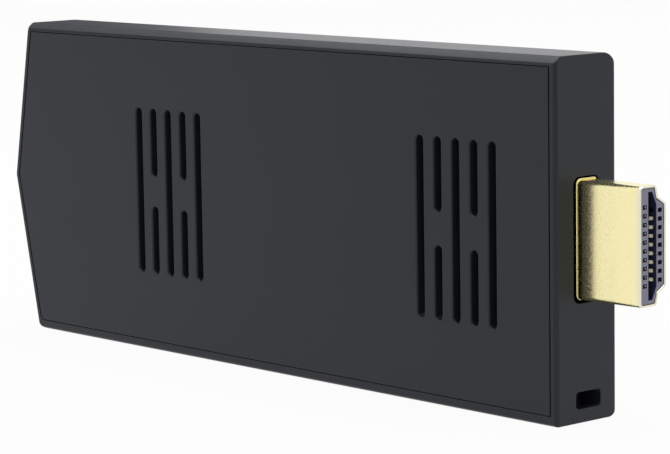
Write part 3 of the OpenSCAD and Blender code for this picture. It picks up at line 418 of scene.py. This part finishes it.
def plug_sheath():
    """The plug's drawn sheet: a tube with a rolled flange in the wall and a rolled lip at its mouth."""
    roll, groove, heel, fillet = 0.07, 0.1, 0.06, 0.03
    lip_long, lip_deep, inner_lip = 0.4, 0.13, 0.15
    heel_steps, roll_steps, lip_steps, inner_steps = 3, 5, 7, 4
    flange = quarter(FLANGE_BACK + heel, heel - FLANGE_OUT, heel, heel, 180, heel_steps)
    flange += quarter(FLANGE_FRONT - roll, roll - FLANGE_OUT, roll, roll, 90, roll_steps)
    tube_side = [(FLANGE_FRONT - groove + fillet * (1 - math.cos(turn)), fillet * (math.sin(turn) - 1))
                 for turn in (0, math.pi / 6, math.pi / 3, math.pi / 2)]
    tube_side += [(SWELL_LONG * step / SWELL_STEPS, 0) for step in range(1, SWELL_STEPS + 1)]
    lip = quarter(PLUG_OUT - lip_long, lip_deep, lip_long, lip_deep, 90, lip_steps)
    lip += quarter(PLUG_OUT - inner_lip, lip_deep, inner_lip, PLUG_SHEET - lip_deep, 0, inner_steps)[1:]
    rings = [plug_ring(-PLUG_IN, 0), plug_ring(FLANGE_BACK, 0)]
    rings += [plug_ring(x, inset, SWELL, FLANGE_SHIFT) for x, inset in flange]
    rings += [plug_ring(x, inset, swell_at(x)) for x, inset in tube_side]
    rings += [plug_ring(x, inset) for x, inset in lip + [(-PLUG_IN, PLUG_SHEET)]]
    tube = bmesh.new()
    rows = [[tube.verts.new(point) for point in ring] for ring in rings]
    for i, row in enumerate(rows):
        last = rows[i - 1]
        for j in range(len(row)):
            tube.faces.new((last[j - 1], last[j], row[j], row[j - 1]))
    # Two legs that reach back onto the board
    leg_long, leg_wide, board_half = 2.3, 0.6, 0.5
    for side in (-1, 1):
        middle = Vector((wall_x - PLUG_IN + PLUG_SHEET - leg_long / 2, plug_y - board_half - PLUG_SHEET / 2,
                         plug_z + side * PLUG_WIDE / 2))
        size = Matrix.Diagonal((leg_long * MM, PLUG_SHEET * MM, leg_wide * MM, 1))
        bmesh.ops.create_cube(tube, size=1, matrix=Matrix.Translation(middle * MM) @ size)
    bmesh.ops.recalc_face_normals(tube, faces=tube.faces)
    mesh = as_mesh("plug_sheath", tube)
    mesh.set_sharp_from_angle(angle=SHEET_SHARP)
    return mesh


show("plug_shell", plug_sheath(), gilt_sheet)


def start_tree(name, **inputs):
    """A Geometry Nodes tree that takes a mesh and named inputs of the given kinds."""
    tree = bpy.data.node_groups.new(name, "GeometryNodeTree")
    tree.interface.new_socket("Geometry", in_out="OUTPUT", socket_type="NodeSocketGeometry")
    tree.interface.new_socket("Geometry", in_out="INPUT", socket_type="NodeSocketGeometry")
    for label, kind in inputs.items():
        tree.interface.new_socket(label, in_out="INPUT", socket_type="NodeSocket" + kind)
    return tree, add(tree, "NodeGroupInput").outputs


def finish_tree(tree, geometry, material):
    """Ends a Geometry Nodes tree: what it made becomes real geometry with its material."""
    real = add(tree, "GeometryNodeRealizeInstances", {"Geometry": geometry})
    dressed = add(tree, "GeometryNodeSetMaterial", {"Geometry": real.outputs[0], "Material": material})
    add(tree, "NodeGroupOutput", {0: dressed.outputs[0]})


def grown(tree, path, closed, **values):
    """An object with a Geometry Nodes tree on a line of points, which are in millimetres."""
    count = len(path)
    links = [(i, (i + 1) % count) for i in range(count if closed else count - 1)]
    mesh = bpy.data.meshes.new(tree.name)
    mesh.from_pydata([Vector(point) * MM for point in path], links, [])
    made = linked(tree.name, mesh)
    maker = made.modifiers.new(tree.name, "NODES")
    maker.node_group = tree
    for socket in tree.interface.items_tree:
        if socket.in_out == "INPUT" and socket.name in values:
            maker[socket.identifier] = values[socket.name]
    return made


def line_of(tree, count, pitch, axis):
    """Points in a row along an axis, its middle at the origin."""
    spans = add(tree, "ShaderNodeMath", {0: count, 1: 1.0}, operation="SUBTRACT")
    reach = add(tree, "ShaderNodeMath", {0: spans.outputs[0], 1: pitch}, operation="MULTIPLY")
    first = add(tree, "ShaderNodeMath", {0: reach.outputs[0], 1: -0.5}, operation="MULTIPLY")
    start = add(tree, "ShaderNodeCombineXYZ", {axis: first.outputs[0]})
    step = add(tree, "ShaderNodeCombineXYZ", {axis: pitch})
    return add(tree, "GeometryNodeMeshLine", {"Count": count, "Start Location": start.outputs[0],
                                              "Offset": step.outputs[0]}).outputs[0]


# A row of stamped contacts: one bent strip that follows its path in X and Y, repeated along Z
BEND_STEPS = 3
contact_row, given = start_tree("contact_row", Contacts="Int", Pitch="Float", Width="Float",
                                Thickness="Float", Bend="Float", Tip="Float", Metal="Material")
spine = add(contact_row, "GeometryNodeMeshToCurve", {"Mesh": given["Geometry"]})
bent = add(contact_row, "GeometryNodeFilletCurve", {
    "Curve": spine.outputs[0], "Count": BEND_STEPS, "Radius": given["Bend"], "Limit Radius": True},
    mode="POLY")
upright = add(contact_row, "GeometryNodeSetCurveNormal", {"Curve": bent.outputs[0]}, mode="Z_UP")
section = add(contact_row, "GeometryNodeCurvePrimitiveQuadrilateral", {
    "Width": given["Thickness"], "Height": given["Width"]})
# Only the first point, whose index is 0, takes the tip's share of the section
point = add(contact_row, "GeometryNodeInputIndex")
taper = add(contact_row, "GeometryNodeSwitch", {
    "Switch": point.outputs[0], "False": given["Tip"], "True": 1.0}, input_type="FLOAT")
strip = add(contact_row, "GeometryNodeCurveToMesh", {
    "Curve": upright.outputs[0], "Profile Curve": section.outputs[0], "Scale": taper.outputs[0],
    "Fill Caps": True})
spots = line_of(contact_row, given["Contacts"], given["Pitch"], "Z")
row = add(contact_row, "GeometryNodeInstanceOnPoints", {"Points": spots, "Instance": strip.outputs[0]})
finish_tree(contact_row, row.outputs[0], given["Metal"])

# A contact's sizes in millimetres, with its tip's share of the section and the radius of its edges
CONTACT_PITCH, CONTACT_WIDE, CONTACT_THICK, CONTACT_BEND = 1.0, 0.4, 0.18, 0.25
CONTACT_TIP, CONTACT_ROUND = 0.5, 0.02
# The rows' counts, how far they lie off the plug's middle, and how far their tips sit in the windows
WIDE_COUNT, NARROW_COUNT, CONTACT_OUT, WIDE_SINK, NARROW_SINK = 10, 9, 1.07, 0.12, 0.5
# Behind the tip: the window's wall, the start and end of the bow's top, and where the bow comes down
WINDOW_WALL, BOW_START, BOW_END, BOW_DOWN, BOW_HIGH = 0.56, 1.05, 2.1, 3.5, 0.48
# Behind the plug's sheet: the foot's start and end, and its step onto the board
FOOT_START, FOOT_END, FOOT_STEP = 0.4, 2.0, 0.48
LATE_CONTACT = 1.4


def plug_contacts(side, count, z, sink, set_back, metal):
    """Contacts of one plug row: a tip behind the window, a spring bow in the cavity, a foot on the board."""
    tip = block_x - wall_x - set_back
    run = [(tip - sink, 0), (tip - WINDOW_WALL, 0), (tip - BOW_START, BOW_HIGH), (tip - BOW_END, BOW_HIGH),
           (tip - BOW_DOWN, 0), (-PLUG_IN, 0), (-PLUG_IN - FOOT_START, FOOT_STEP),
           (-PLUG_IN - FOOT_END, FOOT_STEP)]
    path = [(wall_x + x, plug_y + side * (CONTACT_OUT - lift), z) for x, lift in run]
    return eased(grown(contact_row, path, False, Contacts=count, Pitch=CONTACT_PITCH * MM,
                       Width=CONTACT_WIDE * MM, Thickness=CONTACT_THICK * MM, Bend=CONTACT_BEND * MM,
                       Tip=CONTACT_TIP, Metal=metal), CONTACT_ROUND)


def joined(first, second):
    """Two meshes as one."""
    both = bmesh.new()
    both.from_mesh(first)
    both.from_mesh(second)
    return as_mesh(first.name, both)


show("plug_contacts_wide", plug_contacts(-1, WIDE_COUNT, plug_z, WIDE_SINK, 0, gilt_spring), gilt_spring)
# The narrow row's top contact makes its connection last, so it is set back
narrow_top = plug_z + (NARROW_COUNT - 1) / 2 * CONTACT_PITCH
show("plug_contacts_narrow",
     joined(plug_contacts(1, NARROW_COUNT - 1, plug_z - CONTACT_PITCH / 2, NARROW_SINK, 0, matt_spring),
            plug_contacts(1, 1, narrow_top, NARROW_SINK, LATE_CONTACT, matt_spring)), matt_spring)

# The cover: its outline filled round two groups of slots, made thick and stood up
SLOT_STEPS, WELD = 8, 0.001
slotted_cover, given = start_tree("slotted_cover", Thickness="Float", Slots="Int", Pitch="Float",
                                  Width="Float", Length="Float", Bridge="Float", Groups="Float",
                                  Middle="Vector", Face="Vector", Plastic="Material")
rim = add(slotted_cover, "GeometryNodeMeshToCurve", {"Mesh": given["Geometry"]})
# A slot's outline, whole and as the half beside a bridge
slot_round = add(slotted_cover, "ShaderNodeMath", {0: given["Width"], 1: 0.5}, operation="MULTIPLY")
bridged = add(slotted_cover, "ShaderNodeMath", {0: given["Length"], 1: given["Bridge"]},
              operation="SUBTRACT")
half_length = add(slotted_cover, "ShaderNodeMath", {0: bridged.outputs[0], 1: 0.5}, operation="MULTIPLY")
pills = []
for length in (given["Length"], half_length.outputs[0]):
    block = add(slotted_cover, "GeometryNodeCurvePrimitiveQuadrilateral", {
        "Width": given["Width"], "Height": length})
    pills.append(add(slotted_cover, "GeometryNodeFilletCurve", {
        "Curve": block.outputs[0], "Count": SLOT_STEPS, "Radius": slot_round.outputs[0],
        "Limit Radius": True}, mode="POLY").outputs[0])
apart = add(slotted_cover, "ShaderNodeMath", {0: half_length.outputs[0], 1: given["Bridge"]},
            operation="ADD")
two = line_of(slotted_cover, 2, apart.outputs[0], "Y")
pair = add(slotted_cover, "GeometryNodeInstanceOnPoints", {"Points": two, "Instance": pills[1]})
# Every second slot in a group has a bridge
places = line_of(slotted_cover, given["Slots"], given["Pitch"], "X")
order = add(slotted_cover, "GeometryNodeInputIndex")
second = add(slotted_cover, "FunctionNodeIntegerMath", {0: order.outputs[0], 1: 2}, operation="MODULO")
whole = add(slotted_cover, "FunctionNodeBooleanMath", {0: second.outputs[0]}, operation="NOT")
group = add(slotted_cover, "GeometryNodeJoinGeometry", {"Geometry": [
    add(slotted_cover, "GeometryNodeInstanceOnPoints", {
        "Points": places, "Selection": chosen.outputs[0], "Instance": cut}).outputs[0]
    for chosen, cut in ((whole, pills[0]), (second, pair.outputs[0]))]})
sides = line_of(slotted_cover, 2, given["Groups"], "X")
groups = add(slotted_cover, "GeometryNodeInstanceOnPoints", {
    "Points": sides, "Instance": group.outputs[0]})
centred = add(slotted_cover, "GeometryNodeTransform", {
    "Geometry": groups.outputs[0], "Translation": given["Middle"]})
cuts = add(slotted_cover, "GeometryNodeRealizeInstances", {"Geometry": centred.outputs[0]})
lines = add(slotted_cover, "GeometryNodeJoinGeometry", {"Geometry": [rim.outputs[0], cuts.outputs[0]]})
flat = add(slotted_cover, "GeometryNodeFillCurve", {"Curve": lines.outputs[0]}, mode="NGONS")
up = add(slotted_cover, "ShaderNodeCombineXYZ", {"Z": 1.0})
raised = add(slotted_cover, "GeometryNodeExtrudeMesh", {
    "Mesh": flat.outputs[0], "Offset": up.outputs[0], "Offset Scale": given["Thickness"],
    "Individual": False})
under = add(slotted_cover, "GeometryNodeFlipFaces", {"Mesh": flat.outputs[0]})
plate = add(slotted_cover, "GeometryNodeJoinGeometry", {"Geometry": [raised.outputs[0], under.outputs[0]]})
welded = add(slotted_cover, "GeometryNodeMergeByDistance", {
    "Geometry": plate.outputs[0], "Distance": WELD * MM})
stood = add(slotted_cover, "GeometryNodeTransform", {
    "Geometry": welded.outputs[0], "Translation": given["Face"], "Rotation": (math.pi / 2, 0, 0)})
finish_tree(slotted_cover, stood.outputs[0], given["Plastic"])

# Sizes of the case's outline and of the cover in it, in millimetres
LOW_POINT, HIGH_POINT, LOW_ROUND = 4.5, 3.9, 2.0
COVER_THICK, COVER_LONG_IN, COVER_END_IN = 1.4, 1.23, 1.13
# The slots: the middles of the two groups from the end wall, and one slot's place and size
SLOT_NEAR, SLOT_FAR = 16.4, 70.55
SLOT_COUNT, SLOT_PITCH, SLOT_WIDE, SLOT_LONG, SLOT_BRIDGE = 5, 3.05, 1.2, 22.0, 4.13
# Edge radii of the slots' mouths, of the rest of the plate and of the hooks, and slack at the hooks' roots
SLOT_ROUND, PLATE_ROUND, HOOK_ROUND, HOOK_SLACK = 0.24, 0.04, 0.05, 0.01


def vent_cover():
    """The slotted cover with the snap hooks on its back."""
    half = case_wide / 2

    def far_edge(z, depth):
        slant = math.hypot(depth, half) / half
        return far_x + depth * abs(z - half) / half + COVER_END_IN * slant

    low, high, near = COVER_LONG_IN, case_wide - COVER_LONG_IN, wall_x - COVER_END_IN
    points = [(near, low), (near, high), (far_edge(high, HIGH_POINT), high),
              (far_edge(half, HIGH_POINT), half), (far_edge(low, LOW_POINT), low)]
    radii = [0] * (len(points) - 1) + [LOW_ROUND - COVER_LONG_IN]
    outline = [(point.x, point.y, 0) for point in rounded([Vector(p) for p in points], radii, ROUND_STEPS)]
    made = grown(slotted_cover, outline, True, Thickness=COVER_THICK * MM, Slots=SLOT_COUNT,
                 Pitch=SLOT_PITCH * MM, Width=SLOT_WIDE * MM, Length=SLOT_LONG * MM,
                 Bridge=SLOT_BRIDGE * MM, Groups=(SLOT_FAR - SLOT_NEAR) * MM,
                 Middle=Vector((wall_x - (SLOT_NEAR + SLOT_FAR) / 2, half, 0)) * MM,
                 Face=Vector((0, front_y + COVER_THICK, 0)) * MM, Plastic=cover_abs)
    plate = bmesh.new()
    plate.from_mesh(evaluated(made))

    def plate_share(edge):
        at_slot = all(abs(vert.co.z / MM - half) < SLOT_LONG / 2 + SLOT_ROUND for vert in edge.verts)
        at_front = all(vert.co.y / MM < front_y + PLATE_ROUND for vert in edge.verts)
        return 1.0 if at_slot and at_front else PLATE_ROUND / SLOT_ROUND

    # The hooks are what stands behind the plate in the CAD node
    hooks = merged_copy("vent_cover")
    root = (front_y + COVER_THICK + HOOK_SLACK) * MM
    bmesh.ops.delete(hooks, geom=[face for face in hooks.faces if all(v.co.y < root for v in face.verts)],
                     context="FACES")
    bmesh.ops.holes_fill(hooks, edges=hooks.edges, sides=0)
    bmesh.ops.dissolve_limit(hooks, angle_limit=FLAT, verts=hooks.verts, edges=hooks.edges)
    return joined(shared_out("plate", plate, SLOT_ROUND, plate_share),
                  eased(linked("hooks", as_mesh("hooks", hooks)), HOOK_ROUND))


show("vent_cover", vent_cover(), cover_abs)

# Camera at the photograph's angle: where it aims on the cover, in millimetres, and how far off it stands
AIM = Vector((wall_x - 37.73, front_y, 19.93))
REACH = 357.2
AZIMUTH, ELEVATION, ROLL = 48.182, 7.765, -0.893
LENS, SENSOR = 155.06, 36
NEAREST, FURTHEST = 10, 50000
turn, rise = math.radians(AZIMUTH), math.radians(ELEVATION)
back = Vector((math.sin(turn) * math.cos(rise), -math.cos(turn) * math.cos(rise), math.sin(rise)))
camera_data = bpy.data.cameras.new("photo_camera")
camera_data.lens = LENS
camera_data.sensor_width = SENSOR
camera_data.clip_start, camera_data.clip_end = NEAREST * MM, FURTHEST * MM
camera = linked("photo_camera", camera_data)
facing = (-back).to_track_quat("-Z", "Y").to_matrix().to_4x4()
camera.matrix_world = (Matrix.Translation((AIM + back * REACH) * MM) @ facing
                       @ Matrix.Rotation(math.radians(ROLL), 4, "Z"))
bpy.context.scene.camera = camera


def seen_share(tree, most):
    """The share of a white glow: most for what the eye, a mirror or glass sees, and none for other light."""
    rays = add(tree, "ShaderNodeLightPath").outputs
    direct = add(tree, "ShaderNodeMath", {0: rays["Is Camera Ray"], 1: rays["Is Glossy Ray"]},
                 operation="MAXIMUM")
    seen = add(tree, "ShaderNodeMath", {0: direct.outputs[0], 1: rays["Is Transmission Ray"]},
               operation="MAXIMUM")
    return add(tree, "ShaderNodeMath", {0: seen.outputs[0], 1: most}, operation="MULTIPLY").outputs[0]


# White surroundings: seen as white, and a softer fill for diffuse light
FILL = 0.6
world = bpy.data.worlds.new("white_studio")
bpy.context.scene.world = world
world.use_nodes = True
sky = world.node_tree
sky.nodes.clear()
fill = add(sky, "ShaderNodeBackground", {"Color": linear("#ffffff"), "Strength": FILL})
white = add(sky, "ShaderNodeBackground", {"Color": linear("#ffffff"), "Strength": 1.0})
either = add(sky, "ShaderNodeMixShader", {0: seen_share(sky, 1.0), 1: fill.outputs[0], 2: white.outputs[0]})
add(sky, "ShaderNodeOutputWorld", {"Surface": either.outputs[0]})

# Pale floor: mostly white to the eye, with the object's soft shadow left in it
FLOOR_HALF, FLOOR_DROP, FLOOR_FIBRE, FLOOR_GLOW = 3000, 0.02, 2, 0.94
floor_mesh = bpy.data.meshes.new("floor")
floor_mesh.from_pydata([Vector((x * FLOOR_HALF, y * FLOOR_HALF, -FLOOR_DROP)) * MM
                        for x, y in ((-1, -1), (1, -1), (1, 1), (-1, 1))], [], [(0, 1, 2, 3)])
linked("floor", floor_mesh)
paper, sheet, paper_shader, paper_place = start_material("white_paper_floor", **{"Roughness": 0.9})
fibres = add(sheet, "ShaderNodeTexNoise", {"Vector": paper_place, "Scale": 1 / (FLOOR_FIBRE * MM)})
tint = add(sheet, "ShaderNodeMix", {
    0: fibres.outputs[0], FIRST: linear("#d8d8d8"), SECOND: linear("#dcdcdc")}, data_type="RGBA")
sheet.links.new(tint.outputs[MIXED], paper_shader.inputs["Base Color"])
glow = add(sheet, "ShaderNodeEmission", {"Color": linear("#ffffff"), "Strength": 1.0})
blend = add(sheet, "ShaderNodeMixShader", {
    0: seen_share(sheet, FLOOR_GLOW), 1: paper_shader.outputs[0], 2: glow.outputs[0]})
sheet.links.new(blend.outputs[0], sheet.nodes["Material Output"].inputs["Surface"])
floor_mesh.materials.append(paper)


def softbox(name, place, size, power):
    """A square studio lamp in millimetres and watts, turned towards the object."""
    lamp = bpy.data.lights.new(name, "AREA")
    lamp.size = size * MM
    lamp.energy = power
    made = linked(name, lamp)
    made.location = Vector(place) * MM
    made.rotation_euler = (Vector((0, 0, case_wide / 2)) - Vector(place)).to_track_quat("-Z", "Y").to_euler()


# One lamp high on the left, and a larger, stronger one overhead
softbox("key_softbox", (-400, -50, 690), 500, 1.2)
softbox("top_softbox", (50, 100, 800), 600, 3.2)

CARD_AWAY, CARD_STEPS = 1500, 12
# The cards' matt paint: its clouds, grain, relief and roughness
CARD_PAINT = 60, 4, 0.01, (0.85, 0.95)


def reflection_card(name, tones, start, end, high):
    """A curved card far off, which only reflections see: its ends in degrees round from behind the
    object, and its height in millimetres."""
    bends = [math.radians(start + (end - start) * step / CARD_STEPS) for step in range(CARD_STEPS + 1)]
    mesh = bpy.data.meshes.new(name)
    mesh.from_pydata([Vector((-CARD_AWAY * math.sin(bend), CARD_AWAY * math.cos(bend), level)) * MM
                      for level in (0, high) for bend in bends], [],
                     [(i, i + 1, i + CARD_STEPS + 2, i + CARD_STEPS + 1) for i in range(CARD_STEPS)])
    mesh.materials.append(grained(name, tones, *CARD_PAINT))
    card = linked(name, mesh)
    card.visible_camera = card.visible_diffuse = card.visible_shadow = False


# A grey card at the back left dims the upper edge towards its far end, and a black one behind the camera
# darkens the edges that face it
reflection_card("grey_card", ("#7e7e7e", "#828282"), 51.5, 120, 1000)
reflection_card("black_card", ("#1c1c1c", "#202020"), 213, 243, 600)

bpy.context.scene.view_settings.view_transform = "Standard"
